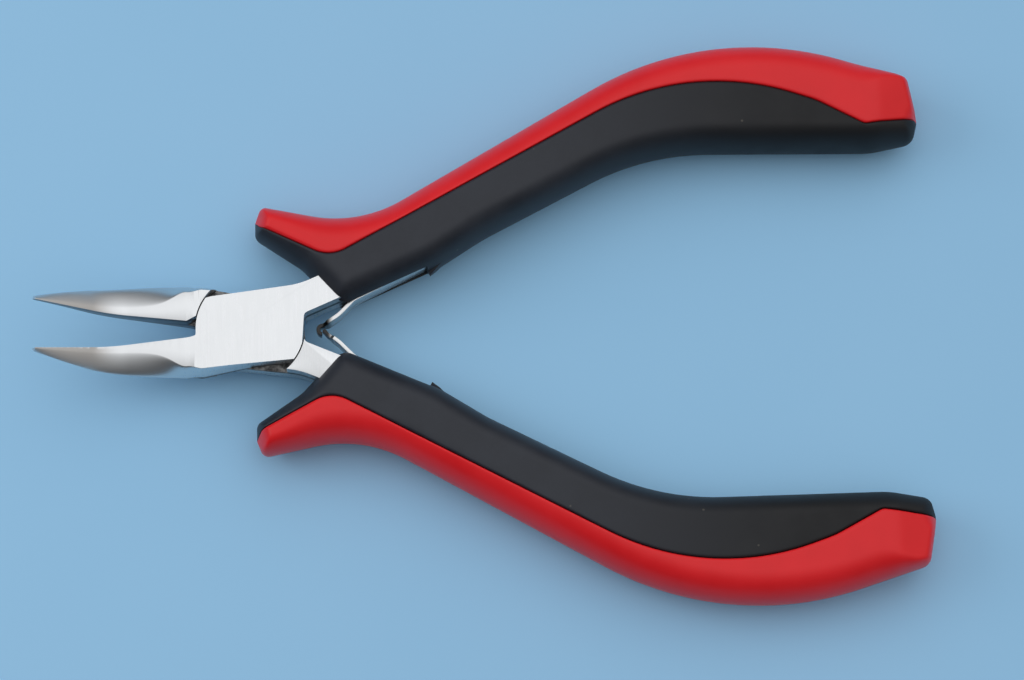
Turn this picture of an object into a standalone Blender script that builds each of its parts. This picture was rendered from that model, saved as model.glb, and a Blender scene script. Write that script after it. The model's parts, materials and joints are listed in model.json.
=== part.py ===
"""Bent-nose pliers, 130 mm long, with a lap joint, two-colour grips and a pair of hooked leaf springs.

Seen from above, the jaws point to -X and bend up, and the handles run to +X, held open by the springs.
Every outline below is in millimetres, measured from the joint's centre, with z = 0 on the lap plane. It is
drawn for the front half, whose handle lies on the +Y side and whose jaw on the -Y side. The back half is
the same forging turned over: rotated half a turn about X before its jaw is bent. A plan line is a list of
corners (x, y, radius) between two end points (x, y), with an arc of that radius at each corner.
"""

import math

import bmesh
import bpy
import numpy as np

MM = 0.001

# Place of the joint's centre in the world: the whole stands on its grips, centred on the origin.
JOINT_X = -34.38
JOINT_Z = 5.9

# Joint
HALF_THICKNESS = 3.6
LAP_GAP = 0.06
DISC_RADIUS = 7.9
SHOULDER_RADIUS = 8.1
LAP_CUT_DEPTH = 6.0
BACK_ARC = (-36.5, -17)
FRONT_ARC = (144.5, 183.5)
JAW_ROOT_EDGE = ((-8.03, -0.8), (-8.3, -1.0), (-8.3, -2.0), (-7.3, -2.0), (-7.3, -5.75))
RELIEF_CORNERS = ((-9.4, -1.15), (-7.7, -2.05), (-7.2, -0.4), (-9.4, -0.4))
RELIEF_HEIGHTS = (-0.1, -5.0)

# Jaw: its top runs level from the joint, turns up in one arc and ends straight. Lengths are along the top.
SHOULDER_END = 7.0
JAW_START = 9.3
BEND_START = 17.5
BEND_RADIUS = 9.0
BEND_ANGLE = math.radians(35)
JAW_LENGTH = 32.3
ROOT_HALF_HEIGHT = 2.95
TIP_HALF_HEIGHT = 0.45
HEIGHT_TAPER = 1.5
SHOULDER_INNER = 0.92
FACE_START = 1.25
FACE_ANGLE = math.radians(6.2)
SHOULDER_WIDTHS = (4.4, 5.8)
SHOULDER_FLATS = (4.2, 4.9)
ROOT_WIDTH = 5.55
TIP_WIDTH = 0.5
WIDTH_BOW = 0.6
FLAT_SHARE = 0.21
FLAT_SHOULDER = 0.55
FLAT_FADE = 3.0
JAW_ROUNDNESS = 1.5
JAW_RINGS = 34

# Arm and tang: the steel that runs back from the joint into the grip
ARM_ANGLE = math.radians(23)
ARM_INNER = (13.9, 4.65)
ARM_HALF_WIDTH = 2.1
ARM_END = 6.5
ARM_CORNER = (7.9, 2.1, 0.7)
WAIST_CORNER = (7.2, 6.4, 12)
WAIST_END = (-5.7, 4.8)
TANG_LINE = ((14.9, 7.4), (22, 10.3, 30), (62, 35.1, 44), (90, 32.3))
TANG_HALF_WIDTH = (2.1, 2.5, 2.0)
TANG_HALF_HEIGHT = (3.0, 2.4, 2.0)
ARM_POCKET_LENGTH = 12.0
FIT_GAP = 0.15

# Grip: one moulding outline, split along a line into a hard outer shell and a soft inner pad
GRIP_HALF_HEIGHT = 5.9
GRIP_TIP = (0.7, 16.3)
GRIP_HEEL = (99.6, 29.8)
GRIP_OUTER = (GRIP_TIP, (1.6, 18.6, 1.1), (16.1, 15.7, 19), (68.8, 45.8, 47), (98.3, 36.5, 1.6), GRIP_HEEL)
GRIP_INNER = (GRIP_TIP, (0.7, 13.9, 1.2), (7.4, 9.4, 5), (13.3, 2.9, 2.5), (27.5, 9.1, 6), (34.5, 13.5, 20),
              (59, 26, 38), (92.5, 25.6, 15), (98.8, 26.7, 1.8), GRIP_HEEL)
GRIP_SPLIT = (GRIP_TIP, (1.5, 15.1, 0.6), (11.8, 9.9, 5), (65.5, 38.6, 37), (84, 32.3, 15), (91, 28.6, 1.5),
              GRIP_HEEL)
SPLIT_GAP = 0.14
GRIP_SMOOTH_ANGLE = 40
EDGE_ROUND = 3.2
FRONT_ROUND = 2.4
HEEL_ROUND = 1.8
FRONT_BLEND = (2, 12)
HEEL_BLEND = (90, 98)
ROW_SPACING = 1.7
NUB_BASE = (26.6, 9.2)
NUB_ANGLE = math.radians(-108)
NUB_SECTIONS = ((-0.8, 1.25, 1.6), (0.0, 0.9, 1.3), (1.35, 0.12, 0.35))

# Leaf springs
LEAF_THICKNESS = 0.5
LEAF_HALF_HEIGHT = 2.2
LEAF_ROOT = (29.6, 11.75)
LEAF_ENTRY = (25.2, 9.12)
LEAF_BEND = (15.15, 4.28)
LEAF_FREE_TURN = (12.9, 2.0, 6)
HOOK_START = (10.95, 0.78)
HOOK_CENTRE = (10.45, 0.0)
HOOK_RADIUS = 0.62
HOOK_HALF_HEIGHT = 1.15
HOOK_ARC = (88, 262)
HOOK_NARROW_LENGTH = 2.2
TONGUE_NARROW_LENGTH = 1.5
NARROWING_LENGTH = 0.5
TONGUE_END = ((11.2, 0.7, 1.5), (10.64, 0.0))
LEAF_ENTRY_RADIUS = 8.0
LEAF_BEND_RADIUS = 2.0
SLOT_HALF_HEIGHT = 2.7
SLOT_HALF_WIDTH = 4.4
SLOT_INWARD = 3.2
SLOT_BEFORE = 6.0
SLOT_PAST = 0.6

# Rivets
PIVOT_RADIUS = 2.0
PIVOT_HEAD_RADIUS = 2.9
PIVOT_TOP = 2.2
PIVOT_HEAD_DEPTH = 0.9
PIVOT_LIP = 0.15
PIN_GAP = 0.1
CUT_BEYOND = 1.0
LEAF_RIVET_DISTANCE = 1.7
LEAF_RIVET_RADIUS = 0.8
LEAF_RIVET_HEAD = 1.25
LEAF_RIVET_FACE = LEAF_THICKNESS / 2 + 0.06
LEAF_RIVET_HEAD_HEIGHT = 0.22
LEAF_RIVET_DEPTH = 3.2
LEAF_RIVET_EDGE_HEIGHT = 0.08
LEAF_RIVET_EDGE_WIDTH = 0.3


def clear_scene():
    for obj in list(bpy.data.objects):
        bpy.data.objects.remove(obj)


def make_collections():
    parts = bpy.data.collections.new("bent_nose_pliers")
    cutters = bpy.data.collections.new("cutters")
    for collection in (parts, cutters):
        bpy.context.scene.collection.children.link(collection)
    return parts, cutters


def make_material(name, colour, roughness, metallic):
    material = bpy.data.materials.new(name)
    material.use_nodes = True
    shader = material.node_tree.nodes["Principled BSDF"]
    shader.inputs["Base Color"].default_value = (*colour, 1)
    shader.inputs["Roughness"].default_value = roughness
    shader.inputs["Metallic"].default_value = metallic
    return material


def direction(start, end):
    along = np.array(end, float) - np.array(start, float)
    return along / np.linalg.norm(along)


def fade(x, low, high):
    t = np.clip((x - low) / (high - low), 0, 1)
    return t * t * (3 - 2 * t)


def rounded_line(corners, count):
    """Straight runs between corners (x, y, radius), each rounded by an arc, read at count even steps."""
    path = [corners[0][:2]]
    for before, (x, y, radius), after in zip(corners, corners[1:], corners[2:]):
        back = direction((x, y), before[:2])
        ahead = direction((x, y), after[:2])
        half = math.acos(back @ ahead) / 2
        turn = math.pi - 2 * half
        centre = (x, y) + radius / math.sin(half) * direction((0, 0), back + ahead)
        start = (x, y) + radius / math.tan(half) * back - centre
        end = (x, y) + radius / math.tan(half) * ahead - centre
        for share in np.linspace(0, 1, 24):
            spoke = math.sin((1 - share) * turn) * start + math.sin(share * turn) * end
            path.append(centre + spoke / math.sin(turn))
    path.append(corners[-1][:2])
    path = np.array(path, float)
    length = np.concatenate([[0], np.cumsum(np.linalg.norm(np.diff(path, axis=0), axis=1))])
    wanted = np.linspace(0, length[-1], count)
    return np.column_stack([np.interp(wanted, length, path[:, 0]), np.interp(wanted, length, path[:, 1])])


def normals_of(line):
    """Unit normals to the left of a plan line."""
    along = np.gradient(line, axis=0)
    along /= np.linalg.norm(along, axis=1)[:, None]
    return np.column_stack([-along[:, 1], along[:, 0]])


def arc(centre, radius, start, end, count):
    angles = np.radians(np.linspace(start, end, count))
    return [(centre[0] + radius * math.cos(a), centre[1] + radius * math.sin(a)) for a in angles]


def turned_over(points):
    """Half a turn about X, which makes the back half of the front one."""
    return np.array(points, float) * (1, -1, -1)


def mesh_object(name, points, faces, collection, origin=(0, 0)):
    """A mesh from points in joint millimetres, with its origin over one plan point."""
    local = np.array(points, float) - (*origin, 0)
    mesh = bpy.data.meshes.new(name)
    mesh.from_pydata((local * MM).tolist(), [], faces)
    bm = bmesh.new()
    bm.from_mesh(mesh)
    bmesh.ops.remove_doubles(bm, verts=bm.verts, dist=1e-6)
    bmesh.ops.dissolve_degenerate(bm, edges=bm.edges, dist=1e-7)
    bmesh.ops.recalc_face_normals(bm, faces=bm.faces)
    bm.to_mesh(mesh)
    bm.free()
    obj = bpy.data.objects.new(name, mesh)
    obj.location = ((JOINT_X + origin[0]) * MM, origin[1] * MM, JOINT_Z * MM)
    collection.objects.link(obj)
    return obj


def loft(sections):
    """Points and faces of a closed skin over equal rings of points, capped at both ends."""
    ring = len(sections[0])
    points = np.vstack(sections)
    faces = []
    for i in range(len(sections) - 1):
        for j in range(ring):
            a = i * ring + j
            b = i * ring + (j + 1) % ring
            faces.append((a, b, b + ring, a + ring))
    faces.append(tuple(range(ring - 1, -1, -1)))
    faces.append(tuple(range(len(points) - ring, len(points))))
    return points, faces


def band(line, half_width, half_height):
    """A bar of rectangular section along a plan line. Each half size is one number or one per point."""
    line = np.array(line, float)
    side = normals_of(line) * np.broadcast_to(half_width, len(line))[:, None]
    height = np.broadcast_to(half_height, len(line))
    sections = []
    for p, n, h in zip(line, side, height):
        left = p + n
        right = p - n
        sections.append([(*left, h), (*left, -h), (*right, -h), (*right, h)])
    return loft(sections)


def plate_mesh(name, outline, half_height, collection):
    """A flat outline as a 2D curve, thickened both ways and made a mesh."""
    curve = bpy.data.curves.new(name, "CURVE")
    curve.dimensions = "2D"
    curve.fill_mode = "BOTH"
    curve.extrude = half_height * MM
    spline = curve.splines.new("POLY")
    spline.points.add(len(outline) - 1)
    spline.use_cyclic_u = True
    for point, (x, y) in zip(spline.points, outline):
        point.co = (x * MM, y * MM, 0, 1)
    guide = bpy.data.objects.new(name + "_outline", curve)
    collection.objects.link(guide)
    bpy.context.view_layer.update()
    mesh = bpy.data.meshes.new_from_object(guide.evaluated_get(bpy.context.evaluated_depsgraph_get()))
    bpy.data.objects.remove(guide)
    bm = bmesh.new()
    bm.from_mesh(mesh)
    bmesh.ops.remove_doubles(bm, verts=bm.verts, dist=1e-7)
    bmesh.ops.recalc_face_normals(bm, faces=bm.faces)
    bm.to_mesh(mesh)
    bm.free()
    obj = bpy.data.objects.new(name, mesh)
    obj.location = (JOINT_X * MM, 0, JOINT_Z * MM)
    collection.objects.link(obj)
    return obj


def turn_object_over(obj):
    """Turns the mesh half round about the joint's X line, keeping the object's place."""
    for vertex in obj.data.vertices:
        vertex.co.y *= -1
        vertex.co.z *= -1


def turned_mesh(name, profile, collection, steps=32):
    """A turned solid about Z: the profile's (radius, z) points run from the top to the bottom."""
    mesh = bpy.data.meshes.new(name)
    points = [(r * MM, 0, z * MM) for r, z in profile]
    mesh.from_pydata(points, [(i, i + 1) for i in range(len(points) - 1)], [])
    obj = bpy.data.objects.new(name, mesh)
    collection.objects.link(obj)
    screw = obj.modifiers.new("turn", "SCREW")
    screw.steps = steps
    screw.render_steps = steps
    screw.use_merge_vertices = True
    screw.merge_threshold = 1e-6
    return obj


def combine(target, other, operation):
    modifier = target.modifiers.new(f"{operation.lower()}_{other.name}", "BOOLEAN")
    modifier.operation = operation
    modifier.solver = "EXACT"
    modifier.object = other
    other.hide_render = True
    other.display_type = "WIRE"


def finish_part(obj, material, smooth_angle=32):
    obj.data.materials.clear()
    obj.data.materials.append(material)
    obj.data.shade_smooth()
    obj.data.set_sharp_from_angle(angle=math.radians(smooth_angle))


# ---- steel halves ----

def blank_outline():
    """Joint plate and arm of one half: a disc edge at both ends, a waisted bar between, and the arm.

    The outline ends in the small fillet between the disc and the jaw's gripping face.
    """
    along = np.array([math.cos(ARM_ANGLE), math.sin(ARM_ANGLE)])
    across = np.array([-along[1], along[0]])
    inner_end = np.array(ARM_INNER) + ARM_END * along
    outer_end = inner_end + 2 * ARM_HALF_WIDTH * across
    outline = arc((0, 0), DISC_RADIUS, *BACK_ARC, 6)
    outline += [tuple(p) for p in rounded_line((outline[-1], ARM_CORNER, ARM_INNER), 9)[1:]]
    outline += [tuple(inner_end)]
    outline += [tuple(p) for p in rounded_line((outer_end, WAIST_CORNER, WAIST_END), 12)]
    outline += arc((0, 0), DISC_RADIUS, *FRONT_ARC, 9)
    return outline + list(JAW_ROOT_EDGE)


def gripping_face(x):
    """Plan distance of the gripping face, a straight upright face once it has left the shoulder."""
    face = FACE_START + math.tan(FACE_ANGLE) * (-x - JAW_START)
    return SHOULDER_INNER + (face - SHOULDER_INNER) * float(fade(-x, SHOULDER_END, JAW_START))


def jaw_top(along):
    """Plan distance, height and slope of the jaw's top, at a length along it."""
    slope = min(max(along - BEND_START, 0) / BEND_RADIUS, BEND_ANGLE)
    straight = max(along - BEND_START - BEND_RADIUS * BEND_ANGLE, 0)
    distance = min(along, BEND_START) + BEND_RADIUS * math.sin(slope) + straight * math.cos(slope)
    height = HALF_THICKNESS + BEND_RADIUS * (1 - math.cos(slope)) + straight * math.sin(slope)
    return distance, height, slope


def jaw_sizes(along):
    """Half height, width and width of the flats of the jaw's section, at a length along its top."""
    taper = max(along - JAW_START, 0) / (JAW_LENGTH - JAW_START)
    height = TIP_HALF_HEIGHT + (ROOT_HALF_HEIGHT - TIP_HALF_HEIGHT) * (1 - taper) ** HEIGHT_TAPER
    width = ROOT_WIDTH + (TIP_WIDTH - ROOT_WIDTH) * taper + 4 * WIDTH_BOW * taper * (1 - taper)
    narrowing = 1 / (1 + (max(along - JAW_START, 0) / FLAT_FADE) ** 2)
    flat = width * (FLAT_SHARE + FLAT_SHOULDER * narrowing)
    shoulder = min(along / SHOULDER_END, 1)
    before = np.array([HALF_THICKNESS, np.interp(shoulder, (0, 1), SHOULDER_WIDTHS),
                       np.interp(shoulder, (0, 1), SHOULDER_FLATS)])
    return before + (np.array([height, width, flat]) - before) * fade(along, SHOULDER_END, JAW_START)


def jaw_section(along, steps=6):
    """A section square to the jaw's top: the gripping face, narrow flats, and a rounded outer side."""
    distance, top, slope = jaw_top(along)
    height, width, flat = jaw_sizes(along)
    inner = gripping_face(-distance)
    rounded = width - flat
    sides = [(inner + flat / 2, 1.0)]
    for a in np.radians(np.linspace(90, -90, 2 * steps + 1)):
        bulge = abs(math.cos(a)) ** JAW_ROUNDNESS
        share = math.copysign(abs(math.sin(a)) ** JAW_ROUNDNESS, a)
        sides.append((inner + flat + rounded * bulge, share))
    sides.append((inner + flat / 2, -1.0))
    ring = []
    for side, share in [(None, 1.0)] + sides + [(None, -1.0)]:
        depth = (1 - share) * height
        x = -distance - depth * math.sin(slope)
        side = gripping_face(x) if side is None else side
        ring.append((x, -side, top - depth * math.cos(slope)))
    return ring


def jaw_mesh(name, turned, collection):
    """The jaw rises towards its tip on both halves, so the turned half only changes side in the plan."""
    points, faces = loft([jaw_section(along) for along in np.linspace(0, JAW_LENGTH, JAW_RINGS)])
    if turned:
        points = points * (1, -1, 1)
    return mesh_object(name, points, faces, collection)


def shoulder_relief_mesh(name, turned, collection):
    """Cutter of the corner taken off the shoulder beside the gripping face, on the lap's side only."""
    sections = []
    for z in RELIEF_HEIGHTS:
        sections.append([(x, y, z) for x, y in RELIEF_CORNERS])
    points, faces = loft(sections)
    return mesh_object(name, turned_over(points) if turned else points, faces, collection)


def profile_along(count, values):
    return np.interp(np.linspace(0, 1, count), np.linspace(0, 1, len(values)), values)


def tang_mesh(name, turned, collection, gap=0.0, count=26):
    line = rounded_line(TANG_LINE, count)
    if gap:
        line[-1] += gap * (line[-1] - line[-2]) / np.linalg.norm(line[-1] - line[-2])
    points, faces = band(line, profile_along(count, TANG_HALF_WIDTH) + gap,
                         profile_along(count, TANG_HALF_HEIGHT) + gap)
    return mesh_object(name, turned_over(points) if turned else points, faces, collection)


def arm_pocket_mesh(name, turned, collection):
    along = np.array([math.cos(ARM_ANGLE), math.sin(ARM_ANGLE)])
    across = np.array([-along[1], along[0]])
    middle = np.array(ARM_INNER) + ARM_HALF_WIDTH * across
    line = [middle - ARM_POCKET_LENGTH * along, middle + (ARM_END + FIT_GAP) * along]
    points, faces = band(line, ARM_HALF_WIDTH + FIT_GAP, HALF_THICKNESS + FIT_GAP)
    return mesh_object(name, turned_over(points) if turned else points, faces, collection)


def pivot_profile(gap):
    """The blind pivot rivet: a countersunk head flush with the underside, and a plain shank."""
    radius = PIVOT_RADIUS + gap
    head = PIVOT_HEAD_RADIUS + gap
    top = PIVOT_TOP + gap
    bottom = -HALF_THICKNESS - (CUT_BEYOND if gap else 0)
    lip = -HALF_THICKNESS + PIVOT_LIP + gap
    neck = -HALF_THICKNESS + PIVOT_HEAD_DEPTH + gap
    return [(0, top), (radius, top), (radius, neck), (head, lip), (head, bottom), (0, bottom)]


def place_at_joint(obj):
    obj.location = (JOINT_X * MM, 0, JOINT_Z * MM)


def steel_half(name, turned, material, parts, cutters):
    half = plate_mesh(name, blank_outline(), HALF_THICKNESS, parts)
    if turned:
        turn_object_over(half)
    combine(half, jaw_mesh(name + "_jaw", turned, cutters), "UNION")
    combine(half, tang_mesh(name + "_tang", turned, cutters), "UNION")
    low = LAP_GAP / 2 - LAP_CUT_DEPTH
    profile = [(0, LAP_GAP / 2), (SHOULDER_RADIUS, LAP_GAP / 2), (SHOULDER_RADIUS, low), (0, low)]
    if turned:
        profile = [(r, -z) for r, z in reversed(profile)]
    disc = turned_mesh(name + "_lap", profile, cutters, steps=72)
    place_at_joint(disc)
    combine(half, disc, "DIFFERENCE")
    hole = turned_mesh(name + "_pivot_hole", pivot_profile(PIN_GAP), cutters, steps=32)
    place_at_joint(hole)
    combine(half, hole, "DIFFERENCE")
    combine(half, shoulder_relief_mesh(name + "_relief", turned, cutters), "DIFFERENCE")
    combine(half, leaf_rivet_hole_mesh(name + "_leaf_rivet_hole", turned, cutters), "DIFFERENCE")
    finish_part(half, material)
    return half


# ---- leaf springs ----

def leaf_lines(turned):
    """Plan line of a leaf from its root to its end, and its half height along it.

    The front leaf ends in an open hook, and the back leaf in a tongue that sits in the hook.
    """
    body = (LEAF_ROOT, (*LEAF_ENTRY, LEAF_ENTRY_RADIUS), (*LEAF_BEND, LEAF_BEND_RADIUS), LEAF_FREE_TURN)
    if turned:
        line = rounded_line(body + TONGUE_END, 32)
    else:
        hook = arc(HOOK_CENTRE, HOOK_RADIUS, *HOOK_ARC, 9)
        line = np.vstack([rounded_line(body + (HOOK_START,), 30), hook])
    from_end = np.concatenate([np.cumsum(np.linalg.norm(np.diff(line[::-1], axis=0), axis=1))[::-1], [0]])
    narrow = TONGUE_NARROW_LENGTH if turned else HOOK_NARROW_LENGTH
    wide = np.clip((from_end - narrow) / NARROWING_LENGTH, 0, 1)
    height = HOOK_HALF_HEIGHT + (LEAF_HALF_HEIGHT - HOOK_HALF_HEIGHT) * wide
    return line, height


def leaf_mesh(name, turned, material, parts, cutters):
    line, height = leaf_lines(turned)
    points, faces = band(line, LEAF_THICKNESS / 2, height)
    origin = LEAF_BEND
    if turned:
        points = turned_over(points)
        origin = (LEAF_BEND[0], -LEAF_BEND[1])
    leaf = mesh_object(name, points, faces, parts, origin)
    combine(leaf, leaf_rivet_hole_mesh(name + "_rivet_hole", turned, cutters), "DIFFERENCE")
    finish_part(leaf, material)
    return leaf


def on_leaf_rivet_axis(name, turned, collection, rings):
    """A round shape on the leaf rivet's axis from (distance from the leaf's middle, radius) rings."""
    along = direction(LEAF_ENTRY, LEAF_ROOT)
    inward = np.array([along[1], -along[0]])
    place = np.array(LEAF_ROOT) - LEAF_RIVET_DISTANCE * along
    sections = []
    for out, r in rings:
        ring = []
        for a in np.radians(np.arange(0, 360, 18)):
            x, y = place + out * inward + r * math.cos(a) * along
            ring.append((x, y, r * math.sin(a)))
        sections.append(ring)
    points, faces = loft(sections)
    return mesh_object(name, turned_over(points) if turned else points, faces, collection)


def leaf_rivet_mesh(name, turned, collection):
    """A flat-headed rivet through the leaf's root into the tang."""
    top = LEAF_RIVET_FACE + LEAF_RIVET_HEAD_HEIGHT
    rings = [(-LEAF_RIVET_DEPTH, LEAF_RIVET_RADIUS), (LEAF_RIVET_FACE, LEAF_RIVET_RADIUS),
             (LEAF_RIVET_FACE, LEAF_RIVET_HEAD), (top - LEAF_RIVET_EDGE_HEIGHT, LEAF_RIVET_HEAD),
             (top, LEAF_RIVET_HEAD - LEAF_RIVET_EDGE_WIDTH)]
    return on_leaf_rivet_axis(name, turned, collection, rings)


def leaf_rivet_hole_mesh(name, turned, collection):
    """Cutter of the straight hole through leaf and tang."""
    radius = LEAF_RIVET_RADIUS + PIN_GAP
    rings = [(-LEAF_RIVET_DEPTH - PIN_GAP, radius), (LEAF_RIVET_FACE + CUT_BEYOND, radius)]
    return on_leaf_rivet_axis(name, turned, collection, rings)


def leaf_rivet_pocket_mesh(name, turned, collection):
    """Cutter of the room that the rivet's head needs in the pad."""
    radius = LEAF_RIVET_HEAD + FIT_GAP
    rings = [(0, radius), (LEAF_RIVET_FACE + LEAF_RIVET_HEAD_HEIGHT + FIT_GAP, radius)]
    return on_leaf_rivet_axis(name, turned, collection, rings)


# ---- grips ----

def grip_outline():
    outer = rounded_line(GRIP_OUTER, 260)
    inner = rounded_line(GRIP_INNER, 280)
    return np.vstack([outer, inner[::-1][1:-1]])


def distance_to(outline, points):
    """Distance from each plan point to a closed outline."""
    start = outline
    run = np.roll(outline, -1, axis=0) - outline
    share = ((points[:, None] - start) * run).sum(-1) / (run * run).sum(-1)
    nearest = start + np.clip(share, 0, 1)[..., None] * run
    return np.linalg.norm(points[:, None] - nearest, axis=-1).min(1)


def grip_height(outline, points):
    """Half height of the grip over plan points: a flat top that rolls down to the outline on all sides."""
    x = points[:, 0]
    roll = FRONT_ROUND + (EDGE_ROUND - FRONT_ROUND) * fade(x, *FRONT_BLEND)
    roll += (HEEL_ROUND - EDGE_ROUND) * fade(x, *HEEL_BLEND)
    share = np.clip(distance_to(outline, points) / roll, 0, 1)
    return GRIP_HALF_HEIGHT * np.sqrt(1 - (1 - share) ** 2)


def grip_part(name, edge_points, gap_side, turned, collection, length=60, width=7):
    """One moulding of a grip, between an edge of the outline and the line where the two mouldings meet."""
    outline = grip_outline()
    edge = rounded_line(edge_points, length + 1)
    split = rounded_line(GRIP_SPLIT, length + 1)
    split = split + gap_side * SPLIT_GAP / 2 * normals_of(split)
    ends = (edge[[0, -1]] + split[[0, -1]]) / 2
    rows = []
    for j in range(width + 1):
        share = (j / width) ** ROW_SPACING
        rows.append(edge + share * (split - edge))
    grid = np.stack(rows, axis=1)
    grid[0] = ends[0]
    grid[-1] = ends[1]
    height = grip_height(outline, grid.reshape(-1, 2)).reshape(grid.shape[:2])
    height[:, 0] = 0
    height[[0, -1]] = 0
    top = np.dstack([grid, height]).reshape(-1, 3)
    bottom = top * (1, 1, -1)
    points = np.vstack([top, bottom])
    across = width + 1
    under = len(top)
    faces = []
    for i in range(length):
        for j in range(width):
            a = i * across + j
            corner = (a, a + 1, a + 1 + across, a + across)
            faces.append(corner)
            faces.append(tuple(under + k for k in reversed(corner)))
        a = i * across + width
        faces.append((a, under + a, under + a + across, a + across))
    if turned:
        points = turned_over(points)
    return mesh_object(name, points, faces, collection)


def slot_mesh(name, turned, collection):
    """The open slot along the pad's inner side, where the leaf lies against the tang."""
    along = direction(LEAF_BEND, LEAF_ENTRY)
    inward = np.array([along[1], -along[0]])
    start = np.array(LEAF_BEND) - SLOT_BEFORE * along
    end = np.array(LEAF_ENTRY) + SLOT_PAST * along
    middle = SLOT_INWARD * inward
    points, faces = band([start + middle, end + middle], SLOT_HALF_WIDTH, SLOT_HALF_HEIGHT)
    return mesh_object(name, turned_over(points) if turned else points, faces, collection)


def leaf_pocket_mesh(name, turned, collection):
    """The pocket under the pad for the leaf's root, open towards the slot."""
    beyond = direction(LEAF_ENTRY, LEAF_ROOT)
    middle = (np.array(LEAF_ENTRY) + LEAF_BEND) / 2
    line = rounded_line((LEAF_ROOT + FIT_GAP * beyond, (*LEAF_ENTRY, LEAF_ENTRY_RADIUS), middle), 12)
    points, faces = band(line, LEAF_THICKNESS / 2 + FIT_GAP, LEAF_HALF_HEIGHT + FIT_GAP)
    return mesh_object(name, turned_over(points) if turned else points, faces, collection)


def nub_mesh(name, turned, collection):
    """A small wedge of moulding flash where the slot ends."""
    out = np.array([math.cos(NUB_ANGLE), math.sin(NUB_ANGLE)])
    side = np.array([-out[1], out[0]])
    base = np.array(NUB_BASE)
    sections = []
    for distance, half_width, half_height in NUB_SECTIONS:
        middle = base + distance * out
        left = middle + half_width * side
        right = middle - half_width * side
        sections.append([(*left, half_height), (*left, -half_height), (*right, -half_height),
                         (*right, half_height)])
    points, faces = loft(sections)
    return mesh_object(name, turned_over(points) if turned else points, faces, collection)


def make_grip(side, turned, materials, parts, cutters):
    shell = grip_part(side + "_grip_shell", GRIP_OUTER, 1, turned, parts)
    pad = grip_part(side + "_grip_pad", GRIP_INNER, -1, turned, parts)
    tang = tang_mesh(side + "_tang_pocket", turned, cutters, FIT_GAP)
    arm = arm_pocket_mesh(side + "_arm_pocket", turned, cutters)
    slot = slot_mesh(side + "_leaf_slot", turned, cutters)
    leaf_pocket = leaf_pocket_mesh(side + "_leaf_pocket", turned, cutters)
    rivet_pocket = leaf_rivet_pocket_mesh(side + "_leaf_rivet_pocket", turned, cutters)
    nub = nub_mesh(side + "_nub", turned, cutters)
    combine(shell, tang, "DIFFERENCE")
    combine(pad, nub, "UNION")
    for cutter in (tang, arm, slot, leaf_pocket, rivet_pocket):
        combine(pad, cutter, "DIFFERENCE")
    finish_part(shell, materials["shell"], GRIP_SMOOTH_ANGLE)
    finish_part(pad, materials["pad"], GRIP_SMOOTH_ANGLE)


def main():
    clear_scene()
    parts, cutters = make_collections()
    materials = {
        "steel": make_material("satin_steel", (0.62, 0.62, 0.64), 0.32, 1.0),
        "spring": make_material("spring_steel", (0.55, 0.55, 0.56), 0.3, 1.0),
        "shell": make_material("red_plastic", (0.58, 0.03, 0.035), 0.38, 0.0),
        "pad": make_material("black_rubber", (0.02, 0.02, 0.023), 0.6, 0.0),
    }
    for side, turned in (("front", False), ("back", True)):
        steel_half(side + "_half", turned, materials["steel"], parts, cutters)
        leaf_mesh(side + "_leaf_spring", turned, materials["spring"], parts, cutters)
        rivet = leaf_rivet_mesh(side + "_leaf_rivet", turned, parts)
        finish_part(rivet, materials["spring"])
        make_grip(side, turned, materials, parts, cutters)
    pivot = turned_mesh("pivot_rivet", pivot_profile(0), parts, steps=32)
    place_at_joint(pivot)
    finish_part(pivot, materials["steel"])


main()
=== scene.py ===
"""Looks of the bent-nose pliers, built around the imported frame.

Every outline is in millimetres, measured from the joint's centre, with z = 0 on the lap plane. It is drawn
for the front half, whose handle lies on the +Y side and whose jaw on the -Y side. The back half is the same
shape turned half round about X, and both jaws are bent up towards +Z. A plan line is a list of corners
(x, y, radius) between two end points (x, y), with an arc of that radius at each corner.
"""

import json
import math

import bmesh
import bpy
import numpy as np
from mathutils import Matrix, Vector


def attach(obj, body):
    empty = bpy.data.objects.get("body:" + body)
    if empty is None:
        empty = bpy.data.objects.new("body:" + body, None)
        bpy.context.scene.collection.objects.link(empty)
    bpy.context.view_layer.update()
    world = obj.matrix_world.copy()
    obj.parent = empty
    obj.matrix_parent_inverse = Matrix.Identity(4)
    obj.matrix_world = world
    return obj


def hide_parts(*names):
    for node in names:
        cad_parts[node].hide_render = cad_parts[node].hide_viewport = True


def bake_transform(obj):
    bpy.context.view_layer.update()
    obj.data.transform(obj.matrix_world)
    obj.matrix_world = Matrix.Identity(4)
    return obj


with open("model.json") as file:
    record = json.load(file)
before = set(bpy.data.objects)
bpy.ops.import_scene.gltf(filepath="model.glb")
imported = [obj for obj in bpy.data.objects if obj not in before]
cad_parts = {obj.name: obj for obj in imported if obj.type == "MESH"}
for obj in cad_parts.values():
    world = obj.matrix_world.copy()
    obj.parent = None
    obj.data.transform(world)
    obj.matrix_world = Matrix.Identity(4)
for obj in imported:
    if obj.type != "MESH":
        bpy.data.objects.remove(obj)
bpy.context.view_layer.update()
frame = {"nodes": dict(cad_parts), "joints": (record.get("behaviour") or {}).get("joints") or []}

MM = 0.001
JOINTS = {joint["name"]: joint for joint in frame["joints"]}
JOINT = np.array(JOINTS["pivot"]["pos_m"])
JOINT_X = float(JOINT[0])

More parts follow.
